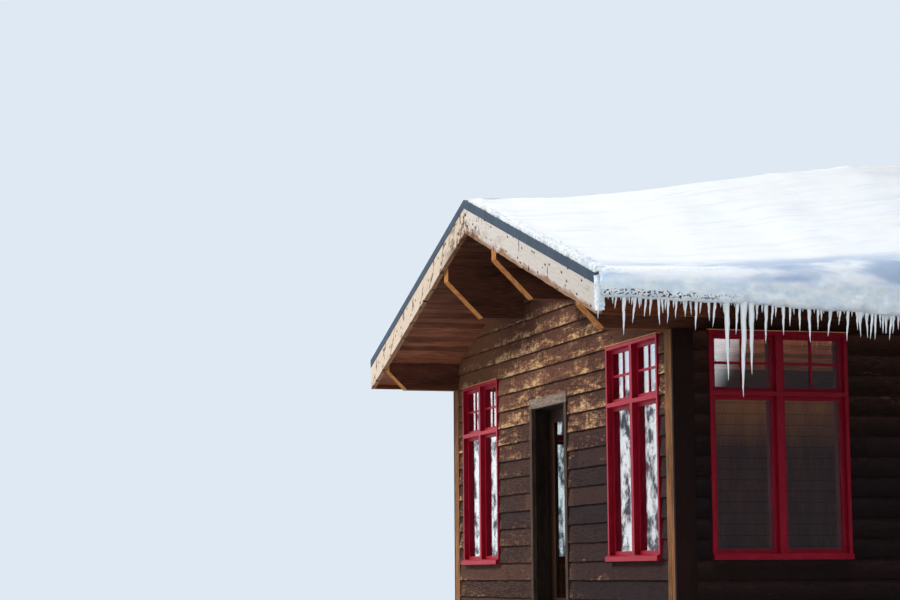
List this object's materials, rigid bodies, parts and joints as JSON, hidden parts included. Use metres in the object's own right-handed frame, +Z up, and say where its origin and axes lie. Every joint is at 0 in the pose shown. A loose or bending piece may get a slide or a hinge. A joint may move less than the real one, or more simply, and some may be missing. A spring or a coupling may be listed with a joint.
{
  "type": "alpine chalet",
  "caption": "Small timber alpine chalet: low-pitched gable roof with deep eaves on projecting purlins, lap siding, red multi-pane windows, snow on one slope and a glazed door that opens inwards.",
  "frame": {"origin": "middle of the plinth's underside, on the ground", "axes": "+Z up; the ridge runs along Y and the gable wall with the door faces -Y; +X is the right-hand side wall of someone who faces the door"},
  "size_m": [7.25, 10.018, 4.631],
  "materials": {
    "concrete": "rough cast concrete plinth",
    "floor_boards": "worn pine floor boards",
    "siding": "rough lap siding, dark brown stain weathered to tan along the grain",
    "corner_wood": "orange-brown weathered corner boards",
    "stained_wood": "dark brown stained timber, raw orange wood on the cut purlin tails",
    "soffit_wood": "reddish brown stained soffit boards",
    "roof_timber": "plain sawn timber",
    "bleached_wood": "sun-bleached barge boards with brown stains, knots and cracks",
    "slate_metal": "matt slate-blue coated sheet metal",
    "red_paint": "crimson painted joinery, slightly glossy and faded",
    "glass": "clear double glazing",
    "grey_wood": "grey-brown weathered boards round the door",
    "door_wood": "dark stained door",
    "black_iron": "black coated iron",
    "snow": null
  },
  "bodies": {
    "chalet": {"foundation": "concrete", "floor": "floor_boards", "front_wall_left": "siding", "front_wall_right": "siding", "front_wall_over_door": "siding", "front_gable": "siding", "back_wall": "siding", "back_gable": "siding", "left_wall": "siding", "right_wall": "siding", "gable_corner_boards": "corner_wood", "side_corner_boards": "stained_wood", "eave_purlins": "stained_wood", "mid_purlins": "stained_wood", "left_soffit_boards": "soffit_wood", "right_soffit_boards": "soffit_wood", "left_roof_deck": "roof_timber", "right_roof_deck": "roof_timber", "left_barge_boards": "bleached_wood", "right_barge_boards": "bleached_wood", "eave_fascias": "stained_wood", "left_roofing": "slate_metal", "right_roofing": "slate_metal", "ridge_cap": "slate_metal", "left_verge_flashings": "slate_metal", "right_verge_flashings": "slate_metal", "eave_drip_edges": "slate_metal", "roof_snow": "snow", "front_window_frames": "red_paint", "front_window_sashes": "red_paint", "back_window_frames": "red_paint", "back_window_sashes": "red_paint", "left_window_frames": "red_paint", "left_window_sashes": "red_paint", "right_window_frames": "red_paint", "right_window_sashes": "red_paint", "gable_window_glass": "glass", "side_window_glass": "glass", "door_jambs": "grey_wood", "door_casings": "grey_wood", "door_threshold": "grey_wood", "door_frame_hinges": "black_iron"},
    "door": {"door_leaf": "door_wood", "door_glass": "glass", "door_handle": "black_iron", "door_leaf_hinges": "black_iron"}
  },
  "joints": [
    {"name": "door_hinge", "type": "hinge", "parent": "chalet", "child": "door", "pos_m": [-0.4675, -3.992, 1.2075], "axis": [0, 0, 1], "range_deg": [0, 100]}
  ]
}
